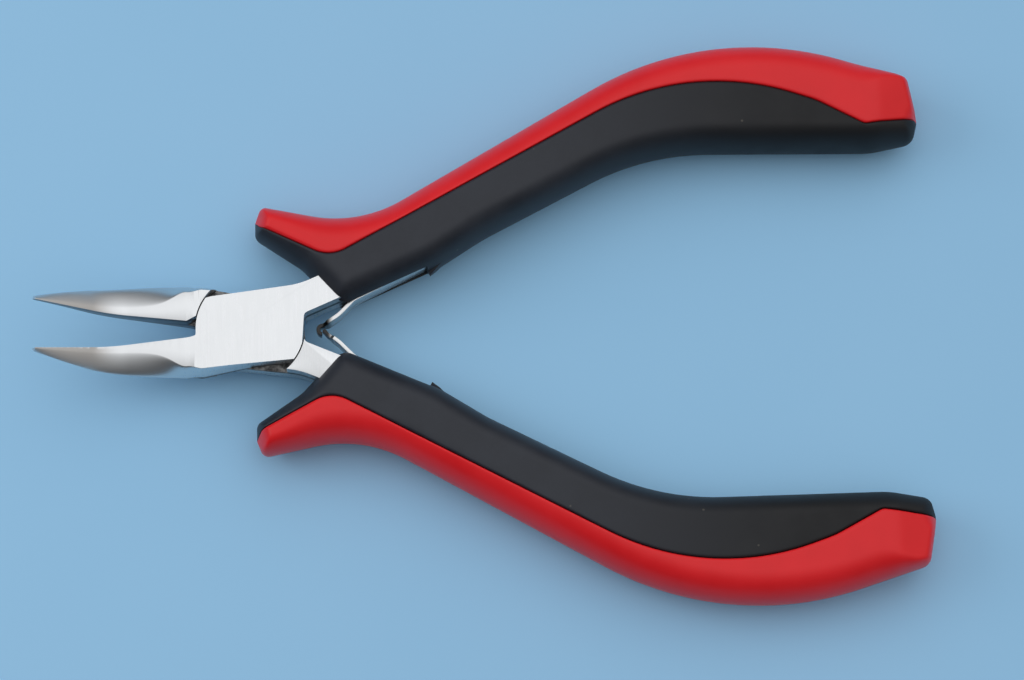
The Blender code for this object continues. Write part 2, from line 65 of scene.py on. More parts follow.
# Joint
HALF_THICKNESS = 3.6
LAP_GAP = 0.06
DISC_RADIUS = 7.9
SHOULDER_RADIUS = 8.1
STEEL_EDGE = 0.11
LAP_CUT_DEPTH = 6.0
BACK_ARC = (-36.5, -17)
FRONT_ARC = (144.5, 183)
JAW_ROOT_EDGE = ((-8.3, -1.0), (-8.3, -2.0), (-7.3, -2.0), (-7.3, -5.75))
RELIEF_CORNERS = ((-9.4, -1.15), (-7.7, -2.05), (-7.2, -0.4), (-9.4, -0.4))
RELIEF_HEIGHTS = (-0.1, -5.0)

# Jaw: its top runs level from the joint, turns up in one arc and ends straight. Lengths are along the top.
SHOULDER_END = 7.0
JAW_START = 9.3
BEND_START = 17.5
BEND_RADIUS = 9.0
BEND_ANGLE = math.radians(35)
JAW_LENGTH = 32.29
ROOT_HALF_HEIGHT = 2.95
TIP_HALF_HEIGHT = 0.45
HEIGHT_TAPER = 1.5
SHOULDER_INNER = 0.92
FACE_START = 1.25
FACE_ANGLE = math.radians(6.2)
SHOULDER_WIDTHS = (4.4, 5.8)
SHOULDER_FLATS = (4.2, 4.9)
ROOT_WIDTH = 5.55
TIP_WIDTH = 0.5
WIDTH_BOW = 0.6
FLAT_SHARE = 0.21
FLAT_SHOULDER = 0.55
FLAT_FADE = 3.0
JAW_ROUNDNESS = 1.5
JAW_RINGS = 150
JAW_STEPS = 22

# Arm and tang
ARM_ANGLE = math.radians(23)
ARM_INNER = (13.9, 4.65)
ARM_HALF_WIDTH = 2.1
ARM_END = 6.5
ARM_CORNER = (7.9, 2.1, 0.7)
WAIST_CORNER = (7.2, 6.4, 12)
WAIST_END = (-5.7, 4.8)
NOTCH_CORNER = (-7.92, -1.0, 0.3)
TANG_LINE = ((14.9, 7.4), (22, 10.3, 30), (62, 35.1, 44), (90, 32.3))
TANG_HALF_WIDTH = (2.1, 2.5, 2.0)
TANG_HALF_HEIGHT = (3.0, 2.4, 2.0)
ARM_POCKET_LENGTH = 12.0
FIT_GAP = 0.15

# Grip: one outline, split along a line into a hard outer shell and a soft inner pad
GRIP_HALF_HEIGHT = 5.9
GRIP_TIP = (0.7, 16.3)
GRIP_HEEL = (99.6, 29.8)
GRIP_OUTER = (GRIP_TIP, (1.6, 18.6, 1.1), (16.1, 15.7, 19), (68.8, 45.8, 47.1), (98.3, 36.5, 1.6),
              GRIP_HEEL)
GRIP_INNER = (GRIP_TIP, (0.7, 13.9, 1.2), (7.4, 9.4, 5), (13.3, 2.9, 2.5), (27.5, 9.1, 6), (34.5, 13.5, 20),
              (59, 26, 38), (92.5, 25.6, 15), (98.8, 26.7, 1.8), GRIP_HEEL)
GRIP_SPLIT = (GRIP_TIP, (1.5, 15.1, 0.6), (11.8, 9.9, 5), (65.5, 38.6, 37), (84, 32.3, 15), (91, 28.6, 1.5),
              GRIP_HEEL)
GRIP_LENGTH_STEPS = 340
GRIP_WIDTH_STEPS = 24
SPLIT_GAP = 0.1
SPLIT_ROWS = (0.5, 0.36, 0.25, 0.16, 0.09, 0.04, 0.0)
SPLIT_ROUND = 0.32
OUTER_ROLL = 4.4
INNER_ROLL = 3.3
FRONT_ROLL = 2.3
HEEL_ROLL = 1.3
FRONT_SLOPE_START = 9.0
FRONT_SLOPE = 0.16
FRONT_SLOPE_SOFTNESS = 0.8
FRONT_BLEND = (1, 12)
HEEL_SLOPE_START = 93.2
HEEL_SLOPE = 0.36
HEEL_SLOPE_SOFTNESS = 0.3
HEEL_BLEND = (90, 97)
NUB_BASE = (26.6, 9.2)
NUB_ANGLE = math.radians(-108)
NUB_SECTIONS = ((-0.8, 1.25, 1.6), (0.0, 0.9, 1.3), (1.35, 0.12, 0.35))

# Leaf springs
LEAF_THICKNESS = 0.5
LEAF_HALF_HEIGHT = 2.2
LEAF_ROOT = (29.6, 11.75)
LEAF_ENTRY = (25.2, 9.12)
LEAF_BEND = (15.15, 4.28)
LEAF_ENTRY_RADIUS = 8.0
LEAF_BEND_RADIUS = 2.0
LEAF_FREE_TURN = (12.9, 2.0, 6)
LEAF_BODY = (LEAF_ROOT, (*LEAF_ENTRY, LEAF_ENTRY_RADIUS), (*LEAF_BEND, LEAF_BEND_RADIUS), LEAF_FREE_TURN)
HOOK_START = (10.95, 0.78)
HOOK_CENTRE = (10.45, 0.0)
HOOK_RADIUS = 0.62
HOOK_HALF_HEIGHT = 1.15
HOOK_ARC = (88, 262)
HOOK_NARROW_LENGTH = 2.2
TONGUE_NARROW_LENGTH = 1.5
NARROWING_LENGTH = 0.5
TONGUE_END = ((11.2, 0.7, 1.5), (10.64, 0.0))
LEAF_EDGE = 0.09
SLOT_HALF_HEIGHT = 2.7
SLOT_HALF_WIDTH = 4.4
SLOT_INWARD = 3.2
SLOT_BEFORE = 6.0
SLOT_PAST = 0.6

# Rivets
PIVOT_RADIUS = 2.0
PIVOT_HEAD_RADIUS = 2.9
PIVOT_HEAD_DEPTH = 0.9
PIVOT_TOP = 2.2
PIVOT_LIP = 0.15
PIVOT_EDGE = 0.15
HEAD_EDGE = ((0.1, 0.03), (0.5, 0.0))
HEAD_RING = ((1.7, 0.0), (1.62, 0.07), (1.5, 0.07), (1.42, 0.0))
PIN_GAP = 0.1
CUT_BEYOND = 1.0
LEAF_RIVET_DISTANCE = 1.7
LEAF_RIVET_RADIUS = 0.8
LEAF_RIVET_HEAD = 1.25
LEAF_RIVET_HEAD_HEIGHT = 0.28
LEAF_RIVET_DEPTH = 3.2


# ---- lines and meshes ----

def direction(start, end):
    along = np.array(end, float) - np.array(start, float)
    return along / np.linalg.norm(along)


def fade(x, low, high):
    t = np.clip((x - low) / (high - low), 0, 1)
    return t * t * (3 - 2 * t)


def rounded_line(corners, shares):
    """Straight runs between corners (x, y, radius), each rounded by an arc, read at shares of its length."""
    path = [corners[0][:2]]
    for before, (x, y, radius), after in zip(corners, corners[1:], corners[2:]):
        back = direction((x, y), before[:2])
        ahead = direction((x, y), after[:2])
        half = math.acos(back @ ahead) / 2
        turn = math.pi - 2 * half
        centre = (x, y) + radius / math.sin(half) * direction((0, 0), back + ahead)
        start = (x, y) + radius / math.tan(half) * back - centre
        end = (x, y) + radius / math.tan(half) * ahead - centre
        for share in np.linspace(0, 1, 24):
            spoke = math.sin((1 - share) * turn) * start + math.sin(share * turn) * end
            path.append(centre + spoke / math.sin(turn))
    path.append(corners[-1][:2])
    path = np.array(path, float)
    length = np.concatenate([[0], np.cumsum(np.linalg.norm(np.diff(path, axis=0), axis=1))])
    wanted = np.asarray(shares) * length[-1]
    return np.column_stack([np.interp(wanted, length, path[:, 0]), np.interp(wanted, length, path[:, 1])])


def even(count):
    return np.linspace(0, 1, count)


def eased(count):
    """Shares that crowd towards both ends."""
    return 0.8 * (1 - np.cos(math.pi * even(count))) / 2 + 0.2 * even(count)


def normals_of(line):
    """Unit normals to the left of a plan line."""
    along = np.gradient(line, axis=0)
    along /= np.maximum(np.linalg.norm(along, axis=1), 1e-9)[:, None]
    return np.column_stack([-along[:, 1], along[:, 0]])


def arc(centre, radius, start, end, count):
    angles = np.radians(np.linspace(start, end, count))
    return [(centre[0] + radius * math.cos(a), centre[1] + radius * math.sin(a)) for a in angles]


def turned_over(points):
    """Half a turn about X, which makes the back half of the front one."""
    return np.array(points, float) * (1, -1, -1)


def ramp(x, width):
    """A ramp that starts softly at x = 0 and then rises one for one."""
    return width * np.logaddexp(0, x / width)


def distance_to(line, points):
    """Distance from each plan point to an open plan line."""
    start = line[:-1]
    run = np.diff(line, axis=0)
    size = np.maximum((run * run).sum(-1), 1e-12)
    found = []
    for part in np.array_split(points, max(1, len(points) // 1500)):
        share = np.clip(((part[:, None] - start) * run).sum(-1) / size, 0, 1)
        found.append(np.linalg.norm(part[:, None] - start - share[..., None] * run, axis=-1).min(1))
    return np.concatenate(found)


def mesh_object(name, points, faces):
    """A mesh in the world's metres from points in joint millimetres."""
    mesh = bpy.data.meshes.new(name)
    mesh.from_pydata((np.array(points, float) * MM + JOINT).tolist(), [], faces)
    bm = bmesh.new()
    bm.from_mesh(mesh)
    bmesh.ops.remove_doubles(bm, verts=bm.verts, dist=2e-7)
    bmesh.ops.dissolve_degenerate(bm, edges=bm.edges, dist=1e-7)
    bmesh.ops.recalc_face_normals(bm, faces=bm.faces)
    if bm.calc_volume(signed=True) < 0:
        bmesh.ops.reverse_faces(bm, faces=bm.faces)
    bm.to_mesh(mesh)
    bm.free()
    obj = bpy.data.objects.new(name, mesh)
    bpy.context.scene.collection.objects.link(obj)
    return obj


def loft(sections):
    """Points and faces of a closed skin over equal rings of points, capped at both ends."""
    ring = len(sections[0])
    points = np.vstack(sections)
    faces = []
    for i in range(len(sections) - 1):
        for j in range(ring):
            a = i * ring + j
            b = i * ring + (j + 1) % ring
            faces.append((a, b, b + ring, a + ring))
    faces.append(tuple(range(ring - 1, -1, -1)))
    faces.append(tuple(range(len(points) - ring, len(points))))
    return points, faces


def band(line, half_width, half_height):
    """A bar of rectangular section along a plan line. Each half size is one number or one per point."""
    line = np.array(line, float)
    side = normals_of(line) * np.broadcast_to(half_width, len(line))[:, None]
    height = np.broadcast_to(half_height, len(line))
    sections = []
    for p, n, h in zip(line, side, height):
        left = p + n
        right = p - n
        sections.append([(*left, h), (*left, -h), (*right, -h), (*right, h)])
    return loft(sections)


def turned(name, profile, steps=96):
    """A turned solid about the joint's axis from (radius, z) points that start and end on the axis."""
    sections = []
    for r, z in profile:
        r = max(r, 1e-4)
        angles = np.linspace(0, 2 * math.pi, steps, endpoint=False)
        sections.append([(r * math.cos(a), r * math.sin(a), z) for a in angles])
    return mesh_object(name, *loft(sections))


def side_points(points, back):
    return turned_over(points) if back else np.array(points, float)


def combine(target, other, operation):
    modifier = target.modifiers.new(operation.lower(), "BOOLEAN")
    modifier.operation = operation
    modifier.solver = "EXACT"
    modifier.object = other


def settle(target, helpers=()):
    """Makes the modified shape the object's own mesh, and removes the shapes that cut or joined it."""
    bpy.context.view_layer.update()
    graph = bpy.context.evaluated_depsgraph_get()
    mesh = bpy.data.meshes.new_from_object(target.evaluated_get(graph))
    target.modifiers.clear()
    target.data = mesh
    for helper in helpers:
        bpy.data.objects.remove(helper)


def round_edges(obj, width, least_angle):
    """Rounds the edges sharper than an angle, and makes the result the object's own mesh."""
    bevel = obj.modifiers.new("edges", "BEVEL")
    bevel.width = width * MM
    bevel.segments = 2
    bevel.limit_method = "ANGLE"
    bevel.angle_limit = math.radians(least_angle)
    settle(obj)


def shade(obj, material, smooth_angle):
    obj.data.materials.clear()
    obj.data.materials.append(material)
    obj.data.shade_smooth()
    obj.data.set_sharp_from_angle(angle=math.radians(smooth_angle))


# ---- steel halves ----

def blank_outline():
    """Joint plate and arm of one half."""
    along = np.array([math.cos(ARM_ANGLE), math.sin(ARM_ANGLE)])
    across = np.array([-along[1], along[0]])
    inner_end = np.array(ARM_INNER) + ARM_END * along
    outer_end = inner_end + 2 * ARM_HALF_WIDTH * across
    outline = arc((0, 0), DISC_RADIUS, *BACK_ARC, 14)
    outline += [tuple(p) for p in rounded_line((outline[-1], ARM_CORNER, ARM_INNER), even(28))[1:]]
    outline += [tuple(inner_end)]
    outline += [tuple(p) for p in rounded_line((outer_end, WAIST_CORNER, WAIST_END), even(40))]
    outline += arc((0, 0), DISC_RADIUS, *FRONT_ARC, 30)
    outline += [tuple(p) for p in rounded_line((outline[-1], NOTCH_CORNER, JAW_ROOT_EDGE[0]), even(7))[1:]]
    return outline + list(JAW_ROOT_EDGE[1:])


def plate_mesh(name, back):
    outline = np.array(blank_outline())
    sections = []
    for z in (HALF_THICKNESS, -HALF_THICKNESS):
        sections.append(np.column_stack([outline, np.full(len(outline), z)]))
    points, faces = loft(sections)
    return mesh_object(name, side_points(points, back), faces)


def gripping_face(x):
    """Plan distance of the gripping face, a straight upright face once it has left the shoulder."""
    face = FACE_START + math.tan(FACE_ANGLE) * (-x - JAW_START)
    return SHOULDER_INNER + (face - SHOULDER_INNER) * float(fade(-x, SHOULDER_END, JAW_START))


def jaw_top(along):
    """Plan distance, height and slope of the jaw's top, at a length along it."""
    slope = min(max(along - BEND_START, 0) / BEND_RADIUS, BEND_ANGLE)
    straight = max(along - BEND_START - BEND_RADIUS * BEND_ANGLE, 0)
    distance = min(along, BEND_START) + BEND_RADIUS * math.sin(slope) + straight * math.cos(slope)
    height = HALF_THICKNESS + BEND_RADIUS * (1 - math.cos(slope)) + straight * math.sin(slope)
    return distance, height, slope


def jaw_sizes(along):
    """Half height, width and width of the flats of the jaw's section, at a length along its top."""
    taper = max(along - JAW_START, 0) / (JAW_LENGTH - JAW_START)
    height = TIP_HALF_HEIGHT + (ROOT_HALF_HEIGHT - TIP_HALF_HEIGHT) * (1 - taper) ** HEIGHT_TAPER
    width = ROOT_WIDTH + (TIP_WIDTH - ROOT_WIDTH) * taper + 4 * WIDTH_BOW * taper * (1 - taper)
    narrowing = 1 / (1 + (max(along - JAW_START, 0) / FLAT_FADE) ** 2)
    flat = width * (FLAT_SHARE + FLAT_SHOULDER * narrowing)
    shoulder = min(along / SHOULDER_END, 1)
    before = np.array([HALF_THICKNESS, np.interp(shoulder, (0, 1), SHOULDER_WIDTHS),
                       np.interp(shoulder, (0, 1), SHOULDER_FLATS)])
    return before + (np.array([height, width, flat]) - before) * fade(along, SHOULDER_END, JAW_START)


def jaw_section(along):
    """A section square to the jaw's top: the gripping face, narrow flats, and a rounded outer side."""
    distance, top, slope = jaw_top(along)
    height, width, flat = jaw_sizes(along)
    inner = gripping_face(-distance)
    rounded = width - flat
    sides = [(inner + flat / 2, 1.0)]
    for a in np.radians(np.linspace(90, -90, 2 * JAW_STEPS + 1)):
        bulge = abs(math.cos(a)) ** JAW_ROUNDNESS
        share = math.copysign(abs(math.sin(a)) ** JAW_ROUNDNESS, a)
        sides.append((inner + flat + rounded * bulge, share))
    sides.append((inner + flat / 2, -1.0))
    ring = []
    for side, share in [(None, 1.0)] + sides + [(None, -1.0)]:
        depth = (1 - share) * height
        x = -distance - depth * math.sin(slope)
        side = gripping_face(x) if side is None else side
        ring.append((x, -side, top - depth * math.cos(slope)))
    return ring


def jaw_mesh(name, back):
    """The jaw rises towards its tip on both halves, so the back one only changes side in the plan."""
    points, faces = loft([jaw_section(along) for along in np.linspace(0, JAW_LENGTH, JAW_RINGS)])
    return mesh_object(name, points * (1, -1, 1) if back else points, faces)


def shoulder_relief_mesh(name, back):
    """Cutter of the corner taken off the shoulder beside the gripping face, on the lap's side only."""
    sections = []
    for z in RELIEF_HEIGHTS:
        sections.append([(x, y, z) for x, y in RELIEF_CORNERS])
    points, faces = loft(sections)
    return mesh_object(name, side_points(points, back), faces)


def profile_along(count, values):
    return np.interp(even(count), even(len(values)), values)


def tang_mesh(name, back, gap=0.0, count=60):
    line = rounded_line(TANG_LINE, even(count))
    if gap:
        line[-1] += gap * direction(line[-2], line[-1])
    points, faces = band(line, profile_along(count, TANG_HALF_WIDTH) + gap,
                         profile_along(count, TANG_HALF_HEIGHT) + gap)
    return mesh_object(name, side_points(points, back), faces)


def lap_disc(name, back):
    """What the lap joint takes away from one half, below the front half or above the back one."""
    low = LAP_GAP / 2 - LAP_CUT_DEPTH
    profile = [(0, LAP_GAP / 2), (SHOULDER_RADIUS, LAP_GAP / 2), (SHOULDER_RADIUS, low), (0, low)]
    if back:
        profile = [(r, -z) for r, z in reversed(profile)]
    return turned(name, profile, steps=160)


def pivot_hole(name):
    radius = PIVOT_RADIUS + PIN_GAP
    head = PIVOT_HEAD_RADIUS + PIN_GAP
    lip = -HALF_THICKNESS + PIVOT_LIP + PIN_GAP
    neck = -HALF_THICKNESS + PIVOT_HEAD_DEPTH + PIN_GAP
    bottom = -HALF_THICKNESS - CUT_BEYOND
    profile = [(0, PIVOT_TOP + PIN_GAP), (radius, PIVOT_TOP + PIN_GAP), (radius, neck), (head, lip),
               (head, bottom), (0, bottom)]
    return turned(name, profile)


def steel_half(side, back, material):
    half = plate_mesh(side + "_steel", back)
    helpers = [jaw_mesh("jaw", back), tang_mesh("tang", back)]
    for helper in helpers:
        combine(half, helper, "UNION")
    cutters = [lap_disc("lap", back), pivot_hole("hole"), shoulder_relief_mesh("relief", back),
               leaf_rivet_hole("rivet_hole", back)]
    for cutter in cutters:
        combine(half, cutter, "DIFFERENCE")
    settle(half, helpers + cutters)
    round_edges(half, STEEL_EDGE, 38)
    shade(half, material, 30)
    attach(half, side + "_handle")
    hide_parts(side + "_half")


# ---- leaf springs and rivets ----

def leaf_line(back):
    """Plan line of a leaf from its root to its end, and its half height along it."""
    if back:
        line = rounded_line(LEAF_BODY + TONGUE_END, even(90))
    else:
        body = rounded_line(LEAF_BODY + (HOOK_START,), even(86))
        line = np.vstack([body, arc(HOOK_CENTRE, HOOK_RADIUS, *HOOK_ARC, 22)])
    from_end = np.concatenate([np.cumsum(np.linalg.norm(np.diff(line[::-1], axis=0), axis=1))[::-1], [0]])
    narrow = TONGUE_NARROW_LENGTH if back else HOOK_NARROW_LENGTH
    wide = fade(from_end, narrow, narrow + NARROWING_LENGTH)
    return line, HOOK_HALF_HEIGHT + (LEAF_HALF_HEIGHT - HOOK_HALF_HEIGHT) * wide


def leaf_spring(side, back, material):
    """One leaf, built in its rest shape, with a turn where it leaves its handle."""
    line, height = leaf_line(back)
    points, faces = band(line, LEAF_THICKNESS / 2, height)
    leaf = mesh_object(side + "_leaf", side_points(points, back), faces)
    hole = leaf_rivet_hole("rivet_hole", back)
    combine(leaf, hole, "DIFFERENCE")
    settle(leaf, [hole])
    round_edges(leaf, LEAF_EDGE, 50)
    shade(leaf, material, 40)
    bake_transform(leaf)
    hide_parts(side + "_leaf_spring")


def on_leaf_rivet_axis(name, back, rings):
    """A round shape on the leaf rivet's axis from (distance from the leaf's middle, radius) rings."""
    along = direction(LEAF_ENTRY, LEAF_ROOT)
    inward = np.array([along[1], -along[0]])
    place = np.array(LEAF_ROOT) - LEAF_RIVET_DISTANCE * along
    sections = []
    for out, r in rings:
        ring = []
        for a in np.radians(np.arange(0, 360, 12)):
            x, y = place + out * inward + r * math.cos(a) * along
            ring.append((x, y, r * math.sin(a)))
        sections.append(ring)
    points, faces = loft(sections)
    return mesh_object(name, side_points(points, back), faces)


def leaf_rivet_hole(name, back):
    """Cutter of the straight hole through leaf and tang."""
    radius = LEAF_RIVET_RADIUS + PIN_GAP
    rings = [(-LEAF_RIVET_DEPTH - PIN_GAP, radius), (LEAF_THICKNESS / 2 + CUT_BEYOND, radius)]
    return on_leaf_rivet_axis(name, back, rings)


def leaf_rivet_pocket(name, back):
    """Cutter of the room that the rivet's head needs in the pad."""
    radius = LEAF_RIVET_HEAD + FIT_GAP
    rings = [(0, radius), (LEAF_THICKNESS / 2 + LEAF_RIVET_HEAD_HEIGHT + FIT_GAP, radius)]
    return on_leaf_rivet_axis(name, back, rings)


def pivot_rivet(material):
    """The blind rivet: its countersunk head is flush with the underside, with a faint ring."""
    bottom = -HALF_THICKNESS
    profile = [(0, PIVOT_TOP), (PIVOT_RADIUS - PIVOT_EDGE, PIVOT_TOP), (PIVOT_RADIUS, PIVOT_TOP - PIVOT_EDGE),
               (PIVOT_RADIUS, bottom + PIVOT_HEAD_DEPTH), (PIVOT_HEAD_RADIUS, bottom + PIVOT_LIP)]
    profile += [(PIVOT_HEAD_RADIUS - inset, bottom + rise) for inset, rise in HEAD_EDGE]
    profile += [(radius, bottom + rise) for radius, rise in HEAD_RING]
    profile += [(0, bottom)]
    rivet = turned("pivot_rivet_head", profile)
    shade(rivet, material, 30)
    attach(rivet, "front_handle")
    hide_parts("pivot_rivet")


# ---- grips ----

OUTER_LINE = rounded_line(GRIP_OUTER, even(320))
INNER_LINE = rounded_line(GRIP_INNER, even(340))


def roundness(share):
    """Height of a quarter round at a share of its width."""
    return np.sqrt(1 - (1 - np.clip(share, 0, 1)) ** 2)


def grip_height(points):
    """Half height of the grip over plan points: a flat top that rolls down to the outline on all sides."""
    x = points[:, 0]
    front = fade(x, *FRONT_BLEND)
    heel = fade(x, *HEEL_BLEND)
    outer_roll = FRONT_ROLL + (OUTER_ROLL - FRONT_ROLL) * front
    outer_roll += (HEEL_ROLL - outer_roll) * heel
    inner_roll = FRONT_ROLL + (INNER_ROLL - FRONT_ROLL) * front
    inner_roll += (2 * HEEL_ROLL - inner_roll) * heel
    height = GRIP_HALF_HEIGHT * roundness(distance_to(OUTER_LINE, points) / outer_roll)
    height *= roundness(distance_to(INNER_LINE, points) / inner_roll)
    height *= 1 - FRONT_SLOPE * ramp(FRONT_SLOPE_START - x, FRONT_SLOPE_SOFTNESS) / GRIP_HALF_HEIGHT
    return height * (1 - HEEL_SLOPE * ramp(x - HEEL_SLOPE_START, HEEL_SLOPE_SOFTNESS) / GRIP_HALF_HEIGHT)


def grip_part(name, edge_points, gap_side, back):
    """One moulding of a grip, between an edge of the outline and the line where the two mouldings meet."""
    shares = eased(GRIP_LENGTH_STEPS + 1)
    edge = rounded_line(edge_points, shares)
    split = rounded_line(GRIP_SPLIT, shares)
    room = np.clip(np.linalg.norm(split - edge, axis=1) / 2, 0, 1)
    split = split + gap_side * SPLIT_GAP / 2 * room[:, None] * normals_of(split)
    width = np.linalg.norm(split - edge, axis=1)
    rows = [edge]
    last = SPLIT_ROWS[0] * room
    for j in range(1, GRIP_WIDTH_STEPS):
        share = (j / GRIP_WIDTH_STEPS) ** 2
        rows.append(edge + (share * (1 - last / np.maximum(width, 1e-6)))[:, None] * (split - edge))
    for distance in SPLIT_ROWS:
        rows.append(split + (distance * room / np.maximum(width, 1e-6))[:, None] * (edge - split))
    grid = np.stack(rows, axis=1)
    height = grip_height(grid.reshape(-1, 2)).reshape(grid.shape[:2])
    count = len(SPLIT_ROWS)
    for k, distance in enumerate(SPLIT_ROWS):
        column = grid.shape[1] - count + k
        drop = SPLIT_ROUND * (1 - roundness(np.array(distance / SPLIT_ROWS[0])))
        height[:, column] -= np.minimum(drop * room, height[:, column])
    height[:, 0] = 0
    height[[0, -1]] = 0
    top = np.dstack([grid, height]).reshape(-1, 3)
    points = np.vstack([top, top * (1, 1, -1)])
    across = grid.shape[1]
    under = len(top)
    faces = []
    for i in range(GRIP_LENGTH_STEPS):
        for j in range(across - 1):
            a = i * across + j
            corner = (a, a + 1, a + 1 + across, a + across)
            faces.append(corner)
            faces.append(tuple(under + k for k in reversed(corner)))
        a = i * across + across - 1
        faces.append((a, under + a, under + a + across, a + across))
    return mesh_object(name, side_points(points, back), faces)


def arm_pocket_mesh(name, back):
    """Cutter of the room that the arm needs in the pad."""
    along = np.array([math.cos(ARM_ANGLE), math.sin(ARM_ANGLE)])
    across = np.array([-along[1], along[0]])
    middle = np.array(ARM_INNER) + ARM_HALF_WIDTH * across
    line = [middle - ARM_POCKET_LENGTH * along, middle + (ARM_END + FIT_GAP) * along]
    points, faces = band(line, ARM_HALF_WIDTH + FIT_GAP, HALF_THICKNESS + FIT_GAP)
    return mesh_object(name, side_points(points, back), faces)


def slot_mesh(name, back):
    """The open slot along the pad's inner side, where the leaf lies against the tang."""
    along = direction(LEAF_BEND, LEAF_ENTRY)
    inward = np.array([along[1], -along[0]])
    start = np.array(LEAF_BEND) - SLOT_BEFORE * along
    end = np.array(LEAF_ENTRY) + SLOT_PAST * along
    middle = SLOT_INWARD * inward
    points, faces = band([start + middle, end + middle], SLOT_HALF_WIDTH, SLOT_HALF_HEIGHT)
    return mesh_object(name, side_points(points, back), faces)


def leaf_pocket_mesh(name, back):
    """The pocket under the pad for the leaf's root, open towards the slot."""
    beyond = direction(LEAF_ENTRY, LEAF_ROOT)
    middle = (np.array(LEAF_ENTRY) + LEAF_BEND) / 2
    line = rounded_line((LEAF_ROOT + FIT_GAP * beyond, (*LEAF_ENTRY, LEAF_ENTRY_RADIUS), middle), even(20))
    points, faces = band(line, LEAF_THICKNESS / 2 + FIT_GAP, LEAF_HALF_HEIGHT + FIT_GAP)
    return mesh_object(name, side_points(points, back), faces)


def nub_mesh(name, back):
    """A small wedge of moulding flash where the slot ends."""
    out = np.array([math.cos(NUB_ANGLE), math.sin(NUB_ANGLE)])
    side = np.array([-out[1], out[0]])
    base = np.array(NUB_BASE)
    sections = []
    for distance, half_width, half_height in NUB_SECTIONS:
        middle = base + distance * out
        left = middle + half_width * side
        right = middle - half_width * side
        sections.append([(*left, half_height), (*left, -half_height), (*right, -half_height),
                         (*right, half_height)])
    points, faces = loft(sections)
    return mesh_object(name, side_points(points, back), faces)


def grip(side, back, shell_material, pad_material):
    shell = grip_part(side + "_red_shell", GRIP_OUTER, 1, back)
    pad = grip_part(side + "_black_pad", GRIP_INNER, -1, back)
    tang = tang_mesh("tang_pocket", back, FIT_GAP)
    nub = nub_mesh("nub", back)
    cutters = [arm_pocket_mesh("arm_pocket", back), slot_mesh("slot", back),
               leaf_pocket_mesh("leaf_pocket", back), leaf_rivet_pocket("rivet_pocket", back)]
    combine(pad, nub, "UNION")
    for cutter in [tang] + cutters:
        combine(pad, cutter, "DIFFERENCE")
    combine(shell, tang, "DIFFERENCE")
    settle(shell)
    settle(pad, [tang, nub] + cutters)
    for obj, node, slot, material in ((shell, "_grip_shell", "red_plastic", shell_material),
                                      (pad, "_grip_pad", "black_rubber", pad_material)):
        shade(obj, material, 40)
        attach(obj, side + "_handle")
        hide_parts(side + node)


# ---- materials ----

class Graph:
    """Short calls for building one material's nodes. An input given a socket is linked to it."""

    def __init__(self, name):
        self.material = bpy.data.materials.new(name)
        self.material.use_nodes = True
        self.tree = self.material.node_tree
        self.shader = self.tree.nodes["Principled BSDF"]
        self.place = self.add("ShaderNodeTexCoord").outputs["Object"]

    def add(self, kind, inputs=(), **settings):
        node = self.tree.nodes.new(kind)
        for key, value in settings.items():
            setattr(node, key, value)
        for key, value in dict(inputs).items():
            self.give(node, key, value)
        return node

    def give(self, node, key, value):
        if isinstance(value, bpy.types.NodeSocket):
            self.tree.links.new(value, node.inputs[key])
        else:
            node.inputs[key].default_value = value

    def stretched(self, scale):
        node = self.add("ShaderNodeMapping", {"Vector": self.place, "Scale": scale})
        return node.outputs["Vector"]

    def noise(self, scale, detail=2.0, rough=0.5, place=None):
        node = self.add("ShaderNodeTexNoise", {"Vector": place or self.place, "Scale": scale,
                                               "Detail": detail, "Roughness": rough})
        return node.outputs["Fac"]

    def remap(self, value, low, high, to_low=0.0, to_high=1.0, smooth=False):
        kind = "SMOOTHSTEP" if smooth else "LINEAR"
        node = self.add("ShaderNodeMapRange", {"Value": value, "From Min": low, "From Max": high,
                                               "To Min": to_low, "To Max": to_high},
                        interpolation_type=kind)
        return node.outputs["Result"]

    def math(self, operation, a, b=0.0):
        node = self.add("ShaderNodeMath", {0: a, 1: b}, operation=operation)
        return node.outputs[0]

    def mix(self, share, a, b):
        node = self.add("ShaderNodeMix", data_type="RGBA")
        self.give(node, 0, share)
        for index, value in ((6, a), (7, b)):
            if not isinstance(value, bpy.types.NodeSocket):
                value = (*value, 1)
            self.give(node, index, value)
        return node.outputs[2]

    def bump(self, height, strength, distance, normal=None):
        inputs = {"Height": height, "Strength": strength, "Distance": distance}
        if normal is not None:
            inputs["Normal"] = normal
        return self.add("ShaderNodeBump", inputs).outputs["Normal"]

    def axis(self, vector, index):
        return self.add("ShaderNodeSeparateXYZ", {0: vector}).outputs[index]

    def finish(self, **inputs):
        for key, value in inputs.items():
            self.give(self.shader, key.replace("_", " ").title().replace("Ior", "IOR"), value)
        return self.material


